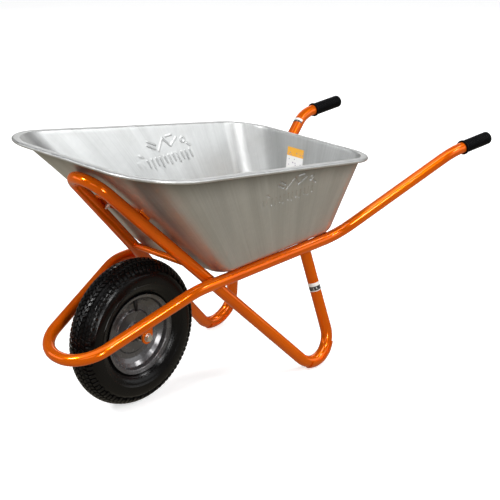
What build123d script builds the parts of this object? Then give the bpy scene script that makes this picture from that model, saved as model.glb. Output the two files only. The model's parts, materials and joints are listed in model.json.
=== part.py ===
from build123d import *
import os
from math import cos, radians, sin

os.makedirs("parts", exist_ok=True)

# A builder's wheelbarrow with one pneumatic wheel. +X points forwards, towards the wheel, +Y to the
# operator's left and +Z up. The origin is on the ground, under the middle of the whole barrow.
# Each height, half-width and radius is in millimetres, and places along X are from the wheel's axle.

# Frame tubes
AXLE_X = 441.0
TUBE_R = 16.0
TUBE_WALL = 2.0
GRIP_END = (-1145.3, 291.0, 553.5)
HANDLE_BEND = (-981.0, 289.0, 545.0)
RAIL_REAR = (-633.0, 160.5, 350.0)
RAIL_FRONT = (-85.0, 160.5, 335.0)
NOSE_CORNER = (248.0, 84.0, 203.0)
MAIN_BENDS = [144.0, 189.0, 157.0, 100.0]
STRUT_TOP = (-521.0, 129.5, 352.0)
FOOT_CORNER = (-597.0, 232.0, -113.4)
ARM_TOP = (155.0, 53.5, 657.0)
SUPPORT_BENDS = [67.0, 60.0]

# Wheel
WHEEL_R = 200.0
TYRE_HALF_WIDTH = 45.0
FLANGE_R = 111.0
FLANGE_Y = 31.0
BEAD_R = 100.5
RIM_SHEET = 2.0
HUB_R = 20.0
HUB_HALF = 40.0
BEARING_R = 16.0
BEARING_WIDTH = 10.0
AXLE_R = 6.0
RUNNING_GAP = 0.05
SEAT_Y = 16.0
DISH_Y = 8.0
DISH_R = 88.0
DISC_Y = 1.05
DISC_R = 76.0
RING_R = 62.0
RING_Y = 6.0
HUB_FOOT_Y = 14.0
BALL_COUNT = 8
BALL_R = 1.9
TYRE_BULGE_R = 150.0
SHOULDER_Y = 37.0
SHOULDER_R = 184.0
CASING_T = 4.5
CROWN_T = 11.0
TUBE_RING_R = 147.0
TUBE_AIR_Y = 33.0
TUBE_AIR_R = 39.0
BUTYL_T = 1.5
VALVE_R = 5.5
VALVE_LENGTH = 34.0
VALVE_THREAD_R = 3.0
VALVE_THREAD_LENGTH = 9.0
VALVE_Y = 12.0
VALVE_TILT = 9.0

# Tray
SHEET = 1.0
RIM_TILT_FRONT = (206.0, 718.6)
RIM_TILT_REAR = (-697.0, 581.0)
RIM_HALF_FRONT = 320.0
RIM_HALF_REAR = 267.5
RIM_CORNER_FRONT = 156.0
RIM_CORNER_REAR = 118.0
ROLL_R = 4.6
CURL_R = ROLL_R - SHEET / 2
CURL_TURN = 280.0
WALL_INSET = 19.0
FLOOR_FRONT_X = -173.0
FLOOR_REAR_X = -650.0
FLOOR_HALF_FRONT = 171.0
FLOOR_HALF_REAR = 158.0
FLOOR_DROP = 4.0
FLOOR_CORNER_FRONT = 50.0
FLOOR_CORNER_REAR = 80.0
FLOOR_EDGE_R = 26.0
SEAT_GAP = 0.4

# Fasteners and small parts
M6_R = 3.0
M6_HOLE_R = 3.3
BOLT_Y = 50.0
BOLT_HEAD_R = 7.5
BOLT_HEAD_T = 3.5
M6_NUT_FLATS = 10.0
M6_NUT_T = 5.0
M6_WASHER_R = 6.4
WASHER_T = 1.6
BOLT_LENGTH = 22.0
FRONT_STRAP_UP = 278.0
FRONT_STRAP_HALF = 90.0
REAR_STRAP_IN = 70.0
REAR_STRAP_HALF = 149.0
CROSSBAR_R = 9.0
CROSSBAR_SHARE = 0.35
STRAP_T = 6.0
STRAP_W = 45.0
GRIP_R = 18.5
GRIP_LENGTH = 120.0
SHOE_T = 3.2
COLLAR_RISE = 2.5
COLLAR_T = 7.0
BRACKET_T = 5.0
BRACKET_W = 35.0
BRACKET_Y = 58.5
BRACKET_BEND_Z = 238.0
BRACKET_REACH = 10.0
AXLE_WASHER_R = 12.0
AXLE_WASHER_T = 2.0
M12_FLATS = 18.0
AXLE_HEAD_T = 7.5
AXLE_NUT_T = 10.0
SPACER_R = 9.0
SPACER_GAP = 0.3
LABEL_T = 0.4
LABEL_GAP = 0.25
TRAY_LABEL_W = 62.0
TRAY_LABEL_H = 110.0
TRAY_LABEL_UP = 135.0
TRAY_LABEL_Y = -37.0
LEG_LABEL_UP = 333.0
LEG_LABEL_LENGTH = 25.0
HANDLE_LABEL_DOWN = 38.0
HANDLE_LABEL_LENGTH = 16.0
LEG_LABEL_FACING = (0.72, 0.69, 0.1)
HANDLE_LABEL_FACING = (0.95, -0.05, 0.3)

AXLE = Vector(AXLE_X, 0, WHEEL_R)
AXLE_LINE = Axis(AXLE, (0, 1, 0))
# In this plane the first coordinate runs along the axle and the second is the radius.
WHEEL_SECTION = Plane(origin=AXLE, x_dir=(0, 1, 0), z_dir=(1, 0, 0))
# The valve stands at the top of the wheel and leans outwards from the rim towards the hub.
valve_root = Vector(AXLE_X, VALVE_Y, WHEEL_R + TUBE_RING_R - TUBE_AIR_R - 0.5)
valve_way = Vector(0, sin(radians(VALVE_TILT)), -cos(radians(VALVE_TILT)))


def at(point, side=1):
    """A place given from the axle, as a vector in the part's frame, on the left (1) or right (-1)."""
    return Vector(AXLE_X + point[0], side * point[1], point[2])


def both_sides(points):
    """A route that runs up the left side and comes back along the right."""
    left = [at(point) for point in points]
    right = [at(point, -1) for point in reversed(points)]
    return left + right


def between(start, end, distance):
    """The place at a distance from start on the way to end."""
    return start + (end - start).normalized() * distance


def mirror_copy(part):
    """The same solid on the barrow's other side."""
    return mirror(part, about=Plane.XZ)


def keep(part, name):
    """Label a finished piece and write its file."""
    part.label = name
    export_step(part, "parts/" + name + ".step")


# --- Frame tubes ------------------------------------------------------------------------------

# The tube's end stays 5 mm inside the closed end of the grip.
handle_end = between(at(GRIP_END), at(HANDLE_BEND), 5.0)
handle_tip = (handle_end.X - AXLE_X, handle_end.Y, handle_end.Z)
main_points = [handle_tip, HANDLE_BEND, RAIL_REAR, RAIL_FRONT, NOSE_CORNER]
with BuildPart() as main_frame_tube:
    with BuildLine() as main_route:
        FilletPolyline(*both_sides(main_points), radius=MAIN_BENDS + MAIN_BENDS[::-1])
    with BuildSketch(Plane(origin=main_route.line @ 0, z_dir=main_route.line % 0)):
        Circle(TUBE_R)
        Circle(TUBE_R - TUBE_WALL, mode=Mode.SUBTRACT)
    sweep()
keep(main_frame_tube.part, "main_frame_tube")

support_points = [STRUT_TOP, FOOT_CORNER, ARM_TOP]
with BuildPart() as support_tube:
    with BuildLine() as support_route:
        FilletPolyline(*both_sides(support_points), radius=SUPPORT_BENDS + SUPPORT_BENDS[::-1])
    with BuildSketch(Plane(origin=support_route.line @ 0, z_dir=support_route.line % 0)):
        Circle(TUBE_R)
        Circle(TUBE_R - TUBE_WALL, mode=Mode.SUBTRACT)
    sweep()
keep(support_tube.part, "support_tube")

# --- Tray -------------------------------------------------------------------------------------

# The floor lies along the rails. It is just above them at the front, and sinks a little way between
# them towards the back, where it is narrower.
rail_run = at(RAIL_FRONT) - at(RAIL_REAR)
rail_slope = rail_run.Z / rail_run.X


def floor_height(x):
    """The underside of the tray's floor at a place along X from the axle."""
    rail_top = RAIL_REAR[2] + rail_slope * (x - RAIL_REAR[0]) + TUBE_R
    backwards = (x - FLOOR_FRONT_X) / (FLOOR_REAR_X - FLOOR_FRONT_X)
    return rail_top + SEAT_GAP - FLOOR_DROP * backwards


floor_front = Vector(AXLE_X + FLOOR_FRONT_X, 0, floor_height(FLOOR_FRONT_X))
floor_rear = Vector(AXLE_X + FLOOR_REAR_X, 0, floor_height(FLOOR_REAR_X))
floor_run = (floor_front - floor_rear).normalized()
floor_plane = Plane(origin=floor_rear, x_dir=floor_run, z_dir=(-floor_run.Z, 0, floor_run.X))
floor_length = (floor_front - floor_rear).length

rim_front = Vector(AXLE_X + RIM_TILT_FRONT[0], 0, RIM_TILT_FRONT[1])
rim_rear = Vector(AXLE_X + RIM_TILT_REAR[0], 0, RIM_TILT_REAR[1])
rim_run = (rim_front - rim_rear).normalized()
rim_plane = Plane(origin=rim_rear, x_dir=rim_run, z_dir=(-rim_run.Z, 0, rim_run.X))
rim_length = (rim_front - rim_rear).length


# The middle line of the front wall, from the floor up to the flange, and its outward plane
wall_foot = floor_front
wall_head = rim_front - rim_run * WALL_INSET + rim_plane.z_dir * ROLL_R
wall_run = (wall_head - wall_foot).normalized()
wall_out = Vector(wall_run.Z, 0, -wall_run.X)


def bolt_plane(place, side, outward):
    """A plane at a bolt, on the sheet's outer face, that looks out of the tray."""
    return Plane(origin=Vector(place.X, side * BOLT_Y, place.Z), x_dir=(0, 1, 0), z_dir=outward)


front_strap_place = wall_foot + wall_run * FRONT_STRAP_UP
rear_strap_place = floor_rear + floor_run * REAR_STRAP_IN
tray_bolt_planes = [bolt_plane(front_strap_place, side, wall_out) for side in (-1, 1)]
tray_bolt_planes += [bolt_plane(rear_strap_place, side, -floor_plane.z_dir) for side in (-1, 1)]


def tray_outline(length, half_rear, half_front, corner_rear, corner_front, inset):
    """Draw a tapered outline with round corners, moved inwards by an inset, into the open line."""
    rear, front = inset, length - inset
    wide_rear, wide_front = half_rear - inset, half_front - inset
    FilletPolyline(
        (rear, wide_rear),
        (rear, -wide_rear),
        (front, -wide_front),
        (front, wide_front),
        radius=[corner_rear - inset, corner_rear - inset, corner_front - inset, corner_front - inset],
        close=True,
    )


def floor_outline(inset):
    """The floor's outline in the floor plane."""
    tray_outline(
        floor_length, FLOOR_HALF_REAR, FLOOR_HALF_FRONT, FLOOR_CORNER_REAR, FLOOR_CORNER_FRONT, inset
    )


def rim_outline(inset):
    """The rim's outline in the rim plane."""
    tray_outline(
        rim_length, RIM_HALF_REAR, RIM_HALF_FRONT, RIM_CORNER_REAR, RIM_CORNER_FRONT, inset
    )


def tray_block(inset, floor_raise, top_raise):
    """A solid between the floor and the rim, with the edge round the floor rolled over."""
    with BuildPart() as block:
        with BuildSketch(floor_plane.offset(floor_raise)):
            with BuildLine():
                floor_outline(inset)
            make_face()
        with BuildSketch(rim_plane.offset(top_raise)):
            with BuildLine():
                rim_outline(WALL_INSET + inset)
            make_face()
        loft(ruled=True)
        floor_edges = block.faces().sort_by(Axis.Z)[0].edges()
        fillet(floor_edges, FLOOR_EDGE_R - inset)
    return block.part


with BuildPart() as tray:
    add(tray_block(0, 0, ROLL_R))
    # The wall turns out into a flat flange, and the flange's edge is rolled down into a curl.
    with BuildLine(rim_plane) as roll_route:
        rim_outline(ROLL_R)
    roll_way = roll_route.line % 0
    inwards = rim_plane.z_dir.cross(roll_way)
    with BuildSketch(Plane(origin=roll_route.line @ 0, x_dir=inwards, z_dir=roll_way)):
        with BuildLine():
            Line((WALL_INSET - ROLL_R + 2 * SHEET, CURL_R), (0, CURL_R))
            CenterArc((0, 0), CURL_R, 90, CURL_TURN)
        trace(line_width=SHEET)
    sweep(path=roll_route.line)
    add(tray_block(SHEET, SHEET, ROLL_R + 0.01), mode=Mode.SUBTRACT)
    # Four clearance holes for the bolts
    for place in tray_bolt_planes:
        with Locations(place):
            Hole(M6_HOLE_R, depth=30.0)
keep(tray.part, "tray")

# --- Cross members ----------------------------------------------------------------------------

# Each one's ends are welded into the tubes beside it, so the solids meet by a millimetre or so.
arm_top = at(ARM_TOP)
foot_corner = at(FOOT_CORNER)
crossbar_end = arm_top + (foot_corner - arm_top) * CROSSBAR_SHARE
with BuildPart() as front_crossbar:
    with BuildSketch(Plane(origin=(crossbar_end.X, 0, crossbar_end.Z), z_dir=(0, 1, 0))):
        Circle(CROSSBAR_R)
        Circle(CROSSBAR_R - TUBE_WALL, mode=Mode.SUBTRACT)
    extrude(amount=crossbar_end.Y - TUBE_R + 3.0, both=True)
keep(front_crossbar.part, "front_crossbar")

with BuildPart() as front_strap:
    strap_plane = Plane(origin=front_strap_place, x_dir=(0, 1, 0), z_dir=wall_out)
    with BuildSketch(strap_plane.offset(SEAT_GAP)):
        RectangleRounded(2 * FRONT_STRAP_HALF, STRAP_W, 6.0)
        with GridLocations(2 * BOLT_Y, 0, 2, 1):
            Circle(M6_HOLE_R, mode=Mode.SUBTRACT)
    extrude(amount=STRAP_T)
keep(front_strap.part, "front_strap")

with BuildPart() as rear_strap:
    strap_plane = Plane(origin=rear_strap_place, x_dir=(0, 1, 0), z_dir=-floor_plane.z_dir)
    with BuildSketch(strap_plane.offset(SEAT_GAP)):
        Rectangle(2 * REAR_STRAP_HALF, STRAP_W)
        with GridLocations(2 * BOLT_Y, 0, 2, 1):
            Circle(M6_HOLE_R, mode=Mode.SUBTRACT)
    extrude(amount=STRAP_T)
keep(rear_strap.part, "rear_strap")

# --- Tray fasteners ---------------------------------------------------------------------------

with BuildPart() as tray_bolts:
    for place in tray_bolt_planes:
        # A low domed head inside the tray, on a shank that runs out through sheet and strap
        with BuildSketch(place.offset(-SHEET)):
            Circle(BOLT_HEAD_R)
        extrude(amount=-BOLT_HEAD_T, taper=35)
        with BuildSketch(place.offset(-SHEET)):
            Circle(M6_R)
        extrude(amount=BOLT_LENGTH)
keep(tray_bolts.part, "tray_bolts")

strap_face = SEAT_GAP + STRAP_T
with BuildPart() as tray_washers:
    for place in tray_bolt_planes:
        with BuildSketch(place.offset(strap_face)):
            Circle(M6_WASHER_R)
            Circle(M6_HOLE_R, mode=Mode.SUBTRACT)
        extrude(amount=WASHER_T)
keep(tray_washers.part, "tray_washers")

with BuildPart() as tray_nuts:
    for place in tray_bolt_planes:
        with BuildSketch(place.offset(strap_face + WASHER_T)):
            RegularPolygon(M6_NUT_FLATS / 2, 6, major_radius=False)
            Circle(M6_R + RUNNING_GAP, mode=Mode.SUBTRACT)
        extrude(amount=M6_NUT_T)
keep(tray_nuts.part, "tray_nuts")

# --- Axle and its brackets --------------------------------------------------------------------

# A bent strip drops from under the main tube to the axle, beside the hub.
nose = at(NOSE_CORNER)
rail_front = at(RAIL_FRONT)
tube_share = (nose.X - AXLE_X) / (nose.X - rail_front.X)
tube_over_axle = nose + (rail_front - nose) * tube_share
bracket_low = WHEEL_R - BRACKET_W / 2
with BuildPart() as left_axle_bracket:
    with BuildSketch(Plane(origin=(AXLE_X, 0, 0), x_dir=(0, 1, 0), z_dir=(1, 0, 0))):
        with BuildLine():
            FilletPolyline(
                (BRACKET_Y, bracket_low),
                (BRACKET_Y, BRACKET_BEND_Z),
                (tube_over_axle.Y - BRACKET_REACH, tube_over_axle.Z - 0.7 * BRACKET_REACH),
                radius=12.0,
            )
        trace(line_width=BRACKET_T)
    extrude(amount=BRACKET_W / 2, both=True)
    low_corners = left_axle_bracket.edges().filter_by(Axis.Y).group_by(Axis.Z)[0]
    fillet(low_corners, BRACKET_W / 2 - 1.0)
    with Locations(Plane(origin=(AXLE_X, BRACKET_Y + BRACKET_T / 2, WHEEL_R), z_dir=(0, 1, 0))):
        Hole(AXLE_R + 0.3, depth=BRACKET_T)
keep(left_axle_bracket.part, "left_axle_bracket")
keep(mirror_copy(left_axle_bracket.part), "right_axle_bracket")

bracket_face = BRACKET_Y + BRACKET_T / 2
washer_face = bracket_face + AXLE_WASHER_T
with BuildPart() as axle_bolt:
    with BuildSketch(Plane(origin=(AXLE_X, washer_face, WHEEL_R), z_dir=(0, 1, 0))):
        RegularPolygon(M12_FLATS / 2, 6, major_radius=False)
    extrude(amount=AXLE_HEAD_T)
    chamfer(axle_bolt.faces().sort_by(Axis.Y)[-1].edges(), 0.8)
    with BuildSketch(Plane(origin=(AXLE_X, washer_face, WHEEL_R), z_dir=(0, -1, 0))):
        Circle(AXLE_R)
    extrude(amount=2 * washer_face + AXLE_NUT_T + 3.0)
keep(axle_bolt.part, "axle_bolt")

with BuildPart() as axle_nut:
    with BuildSketch(Plane(origin=(AXLE_X, -washer_face, WHEEL_R), z_dir=(0, -1, 0))):
        RegularPolygon(M12_FLATS / 2, 6, major_radius=False)
        Circle(AXLE_R + RUNNING_GAP, mode=Mode.SUBTRACT)
    extrude(amount=AXLE_NUT_T)
keep(axle_nut.part, "axle_nut")

with BuildPart() as axle_washers:
    for side in (-1, 1):
        with BuildSketch(Plane(origin=(AXLE_X, side * bracket_face, WHEEL_R), z_dir=(0, side, 0))):
            Circle(AXLE_WASHER_R)
            Circle(AXLE_R + 0.3, mode=Mode.SUBTRACT)
        extrude(amount=AXLE_WASHER_T)
keep(axle_washers.part, "axle_washers")

spacer_start = HUB_HALF + SPACER_GAP
with BuildPart() as left_spacer:
    with BuildSketch(Plane(origin=(AXLE_X, spacer_start, WHEEL_R), z_dir=(0, 1, 0))):
        Circle(SPACER_R)
        Circle(AXLE_R + 0.1, mode=Mode.SUBTRACT)
    extrude(amount=BRACKET_Y - BRACKET_T / 2 - spacer_start)
keep(left_spacer.part, "left_spacer")
keep(mirror_copy(left_spacer.part), "right_spacer")

# --- Grips and foot shoes ---------------------------------------------------------------------

grip_tip = at(GRIP_END)
grip_way = (grip_tip - at(HANDLE_BEND)).normalized()
grip_start = grip_tip - grip_way * GRIP_LENGTH
with BuildPart() as left_grip:
    with BuildSketch(Plane(origin=grip_start, z_dir=grip_way)):
        Circle(GRIP_R)
    extrude(amount=GRIP_LENGTH)
    fillet(left_grip.edges().sort_by(Axis.X)[0], 6.0)
    with BuildSketch(Plane(origin=grip_start, z_dir=grip_way)):
        Circle(GRIP_R + COLLAR_RISE)
    extrude(amount=COLLAR_T)
    with BuildSketch(Plane(origin=grip_start, z_dir=grip_way)):
        Circle(TUBE_R + 0.02)
    extrude(amount=GRIP_LENGTH - 5.0 + 0.02, mode=Mode.SUBTRACT)
keep(left_grip.part, "left_grip")
keep(mirror_copy(left_grip.part), "right_grip")

# A pressed shoe cups the outside of each foot bend, and its lowest part is flat on the ground
foot_bend = support_route.edges().filter_by(GeomType.CIRCLE).sort_by(Axis.Y)[-1].trim(0.22, 0.80)
shoe_out = (foot_bend @ 0 - foot_bend.arc_center).normalized()
with BuildPart() as left_foot_shoe:
    with BuildSketch(Plane(origin=foot_bend @ 0, x_dir=shoe_out, z_dir=foot_bend % 0)):
        Circle(TUBE_R + SHOE_T)
        Circle(TUBE_R + 0.02, mode=Mode.SUBTRACT)
        with Locations((-GRIP_R, 0)):
            Rectangle(2 * GRIP_R, 4 * GRIP_R, mode=Mode.SUBTRACT)
    sweep(path=foot_bend)
    split(bisect_by=Plane.XY, keep=Keep.TOP)
keep(left_foot_shoe.part, "left_foot_shoe")
keep(mirror_copy(left_foot_shoe.part), "right_foot_shoe")

# --- Wheel ------------------------------------------------------------------------------------

# Each half of the rim is one pressing: a rolled flange, the seat that the tyre's bead sits on,
# a deep dish and, round the hub, a flat disc with a raised ring.
with BuildPart() as left_rim_half:
    with BuildSketch(WHEEL_SECTION) as rim_section:
        with BuildLine():
            FilletPolyline(
                (FLANGE_Y + 3.0, FLANGE_R - 2.0),
                (FLANGE_Y, FLANGE_R - 1.0),
                (FLANGE_Y - 3.0, BEAD_R),
                (SEAT_Y, BEAD_R - 2.0),
                (DISH_Y, DISH_R),
                (DISC_Y, DISC_R),
                (DISC_Y, RING_R),
                (RING_Y, RING_R - 5.0),
                (RING_Y, HUB_R + 8.0),
                (HUB_FOOT_Y, HUB_R + 0.4),
                radius=[2.5, 4.0, 4.0, 7.0, 7.0, 2.5, 2.5, 5.0],
            )
        trace(line_width=RIM_SHEET)
    revolve(axis=AXLE_LINE)
    with Locations(Plane(origin=valve_root + valve_way * VALVE_LENGTH, z_dir=valve_way)):
        Hole(VALVE_R + 0.3, depth=2 * VALVE_LENGTH)
keep(left_rim_half.part, "left_rim_half")
with BuildPart() as right_rim_half:
    with BuildSketch(WHEEL_SECTION):
        mirror(rim_section.sketch_local, about=Plane.YZ)
    revolve(axis=AXLE_LINE)
keep(right_rim_half.part, "right_rim_half")

with BuildPart() as hub:
    with BuildSketch(WHEEL_SECTION):
        with BuildLine():
            Polyline(
                (-HUB_HALF, BEARING_R + 0.02),
                (-HUB_HALF, HUB_R),
                (HUB_HALF, HUB_R),
                (HUB_HALF, BEARING_R + 0.02),
                (HUB_HALF - BEARING_WIDTH, BEARING_R + 0.02),
                (HUB_HALF - BEARING_WIDTH, BEARING_R - 3.0),
                (BEARING_WIDTH - HUB_HALF, BEARING_R - 3.0),
                (BEARING_WIDTH - HUB_HALF, BEARING_R + 0.02),
                close=True,
            )
        make_face()
    revolve(axis=AXLE_LINE)
keep(hub.part, "hub")

ball_ring = (BEARING_R + AXLE_R + RUNNING_GAP) / 2
with BuildPart() as left_bearing:
    with BuildSketch(WHEEL_SECTION):
        for low, high in ((AXLE_R + RUNNING_GAP, ball_ring - 2.0), (ball_ring + 2.0, BEARING_R)):
            with BuildLine():
                Polyline(
                    (HUB_HALF - BEARING_WIDTH + 0.1, low),
                    (HUB_HALF - BEARING_WIDTH + 0.1, high),
                    (HUB_HALF, high),
                    (HUB_HALF, low),
                    close=True,
                )
            make_face()
    revolve(axis=AXLE_LINE)
    bearing_middle = Plane(
        origin=(AXLE_X, HUB_HALF - BEARING_WIDTH / 2, WHEEL_R), x_dir=(1, 0, 0), z_dir=(0, 1, 0)
    )
    with Locations(bearing_middle):
        with PolarLocations(ball_ring, BALL_COUNT):
            Sphere(BALL_R)
keep(left_bearing.part, "left_bearing")
keep(mirror_copy(left_bearing.part), "right_bearing")

# Half of the tyre's casing: from the bead's toe under the flange, round the sidewall, to the crown
toe = (SEAT_Y + 3.0, BEAD_R + 0.5)
heel = (FLANGE_Y - 4.6, BEAD_R + 1.6)
flange_top = (FLANGE_Y - 2.4, FLANGE_R + 1.5)
low_wall = (TYRE_HALF_WIDTH - 5.0, BEAD_R + 27.0)
bulge = (TYRE_HALF_WIDTH, TYRE_BULGE_R)
high_wall = (TYRE_HALF_WIDTH - 2.0, TYRE_BULGE_R + 18.0)
shoulder = (SHOULDER_Y, SHOULDER_R)
inner_low = (low_wall[0] - CASING_T, low_wall[1])
inner_side = (bulge[0] - CASING_T, TYRE_BULGE_R)
inner_shoulder = (SHOULDER_Y - CASING_T - 3.0, SHOULDER_R - CROWN_T + 3.0)
with BuildPart() as tyre:
    with BuildSketch(WHEEL_SECTION):
        with BuildLine():
            Line((0, WHEEL_R - CROWN_T), (0, WHEEL_R))
            ThreePointArc((0, WHEEL_R), (SHOULDER_Y * 0.55, WHEEL_R - 4.5), shoulder)
            ThreePointArc(shoulder, high_wall, bulge)
            ThreePointArc(bulge, low_wall, flange_top)
            Polyline(flange_top, heel, toe)
            ThreePointArc(toe, inner_low, inner_side)
            ThreePointArc(inner_side, inner_shoulder, (0, WHEEL_R - CROWN_T))
        make_face()
        mirror(about=Plane.YZ)
    revolve(axis=AXLE_LINE)
keep(tyre.part, "tyre")

with BuildPart() as inner_tube:
    with BuildSketch(WHEEL_SECTION):
        with Locations((0, TUBE_RING_R)):
            Ellipse(TUBE_AIR_Y, TUBE_AIR_R)
            Ellipse(TUBE_AIR_Y - BUTYL_T, TUBE_AIR_R - BUTYL_T, mode=Mode.SUBTRACT)
    revolve(axis=AXLE_LINE)
keep(inner_tube.part, "inner_tube")

with BuildPart() as valve_stem:
    with BuildSketch(Plane(origin=valve_root, z_dir=valve_way)):
        Circle(VALVE_R)
    extrude(amount=VALVE_LENGTH)
    with BuildSketch(Plane(origin=valve_root + valve_way * VALVE_LENGTH, z_dir=valve_way)):
        Circle(VALVE_THREAD_R)
    extrude(amount=VALVE_THREAD_LENGTH)
keep(valve_stem.part, "valve_stem")

with BuildPart() as valve_cap:
    with BuildSketch(Plane(origin=valve_root + valve_way * (VALVE_LENGTH + 0.3), z_dir=valve_way)):
        Circle(VALVE_R - 1.2)
    extrude(amount=VALVE_THREAD_LENGTH + 2.0)
    with BuildSketch(Plane(origin=valve_root + valve_way * (VALVE_LENGTH + 0.3), z_dir=valve_way)):
        Circle(VALVE_THREAD_R + RUNNING_GAP)
    extrude(amount=VALVE_THREAD_LENGTH, mode=Mode.SUBTRACT)
keep(valve_cap.part, "valve_cap")

# --- Labels -----------------------------------------------------------------------------------

# The tray's label is flat on the inside of the rear wall, to the right of the middle.
rear_foot = floor_rear
rear_head = rim_rear + rim_run * WALL_INSET + rim_plane.z_dir * ROLL_R
rear_up = (rear_head - rear_foot).normalized()
rear_in = Vector(rear_up.Z, 0, -rear_up.X)
label_place = rear_foot + rear_up * TRAY_LABEL_UP + rear_in * (SHEET + LABEL_GAP)
with BuildPart() as tray_label:
    label_corner = (label_place.X, TRAY_LABEL_Y, label_place.Z)
    with BuildSketch(Plane(origin=label_corner, x_dir=(0, 1, 0), z_dir=rear_in)):
        RectangleRounded(TRAY_LABEL_W, TRAY_LABEL_H, 3.0)
    extrude(amount=LABEL_T)
keep(tray_label.part, "tray_label")


def wrapped_label(start, end, outward, length):
    """A label bent round a tube from start to end, facing outward, over half of its girth."""
    way = (end - start).normalized()
    with BuildPart() as label:
        with BuildSketch(Plane(origin=start, x_dir=outward, z_dir=way)):
            Circle(TUBE_R + 0.05 + LABEL_T)
            Circle(TUBE_R + 0.05, mode=Mode.SUBTRACT)
            with Locations((-2 * TUBE_R, 0)):
                Rectangle(4 * TUBE_R, 4 * TUBE_R, mode=Mode.SUBTRACT)
        extrude(amount=length)
    return label.part


strut_way = (at(STRUT_TOP) - at(FOOT_CORNER)).normalized()
leg_label_start = at(FOOT_CORNER) + strut_way * LEG_LABEL_UP
leg_label_out = Vector(LEG_LABEL_FACING).cross(strut_way).cross(strut_way) * -1
with BuildPart() as leg_label:
    add(wrapped_label(leg_label_start, at(STRUT_TOP), leg_label_out, LEG_LABEL_LENGTH))
keep(leg_label.part, "leg_label")

handle_label_start = between(at(HANDLE_BEND, -1), at(RAIL_REAR, -1), HANDLE_LABEL_DOWN)
handle_way = (at(RAIL_REAR, -1) - at(HANDLE_BEND, -1)).normalized()
handle_label_out = Vector(HANDLE_LABEL_FACING).cross(handle_way).cross(handle_way) * -1
with BuildPart() as handle_label:
    add(wrapped_label(handle_label_start, at(RAIL_REAR, -1), handle_label_out, HANDLE_LABEL_LENGTH))
keep(handle_label.part, "handle_label")
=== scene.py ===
import json
import math

import bpy
import numpy as np
from mathutils import Matrix, Vector


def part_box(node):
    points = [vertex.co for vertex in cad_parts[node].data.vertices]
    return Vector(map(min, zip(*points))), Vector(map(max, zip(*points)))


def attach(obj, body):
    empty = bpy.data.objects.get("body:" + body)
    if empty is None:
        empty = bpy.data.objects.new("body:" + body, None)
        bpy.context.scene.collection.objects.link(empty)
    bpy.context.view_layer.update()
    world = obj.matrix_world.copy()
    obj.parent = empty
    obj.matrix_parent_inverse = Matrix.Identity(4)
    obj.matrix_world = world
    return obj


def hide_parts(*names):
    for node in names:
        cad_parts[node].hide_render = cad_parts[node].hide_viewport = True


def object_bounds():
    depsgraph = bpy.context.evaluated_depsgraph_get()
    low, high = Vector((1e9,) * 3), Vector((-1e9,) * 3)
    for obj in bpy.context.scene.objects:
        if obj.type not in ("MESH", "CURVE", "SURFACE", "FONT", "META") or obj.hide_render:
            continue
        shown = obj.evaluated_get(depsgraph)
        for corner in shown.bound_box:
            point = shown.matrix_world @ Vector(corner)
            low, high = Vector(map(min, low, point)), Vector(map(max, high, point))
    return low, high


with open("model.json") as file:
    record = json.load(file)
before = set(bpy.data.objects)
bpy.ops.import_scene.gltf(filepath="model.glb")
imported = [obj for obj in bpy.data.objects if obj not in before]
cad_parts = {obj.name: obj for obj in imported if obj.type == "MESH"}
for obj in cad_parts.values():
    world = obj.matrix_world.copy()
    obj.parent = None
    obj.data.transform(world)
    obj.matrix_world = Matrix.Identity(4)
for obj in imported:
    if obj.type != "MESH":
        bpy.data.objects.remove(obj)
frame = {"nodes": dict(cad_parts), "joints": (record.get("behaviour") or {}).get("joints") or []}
cad_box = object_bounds()
nodes = frame["nodes"]

# The CAD's own dimensions, in metres. Places along X are from the wheel's axle, as in part.py.
AXLE = Vector(frame["joints"][0]["pos_m"])
TUBE_R, TUBE_WALL = 0.016, 0.002
GRIP_END = (-1.1453, 0.291, 0.5535)
HANDLE_BEND = (-0.981, 0.289, 0.545)
RAIL_REAR = (-0.633, 0.1605, 0.350)
RAIL_FRONT = (-0.085, 0.1605, 0.335)
NOSE_CORNER = (0.248, 0.084, 0.203)
MAIN_BENDS = [0.144, 0.189, 0.157, 0.100]
STRUT_TOP = (-0.521, 0.1295, 0.352)
FOOT_CORNER = (-0.597, 0.232, -0.1134)
ARM_TOP = (0.155, 0.0535, 0.657)
SUPPORT_BENDS = [0.067, 0.060]
CROSSBAR_R, CROSSBAR_SHARE = 0.009, 0.35
WHEEL_R, TYRE_HALF_WIDTH = 0.200, 0.045
FLANGE_R, FLANGE_Y, BEAD_R, SEAT_Y = 0.111, 0.031, 0.1005, 0.016
TYRE_BULGE_R, SHOULDER_Y, SHOULDER_R = 0.150, 0.037, 0.184
CASING_T, CROWN_T = 0.0045, 0.011
SHEET, SEAT_GAP = 0.001, 0.0004
RIM_FRONT, RIM_REAR = (0.206, 0.7186), (-0.697, 0.581)
RIM_HALF_FRONT, RIM_HALF_REAR = 0.320, 0.2675
RIM_CORNER_FRONT, RIM_CORNER_REAR = 0.156, 0.118
ROLL_R, WALL_INSET = 0.0046, 0.019
CURL_R, CURL_TURN, CURL_START, CURL_STEP = ROLL_R - SHEET / 2, 280, 10, 15
RIM_BEND_R = 0.003
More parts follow.
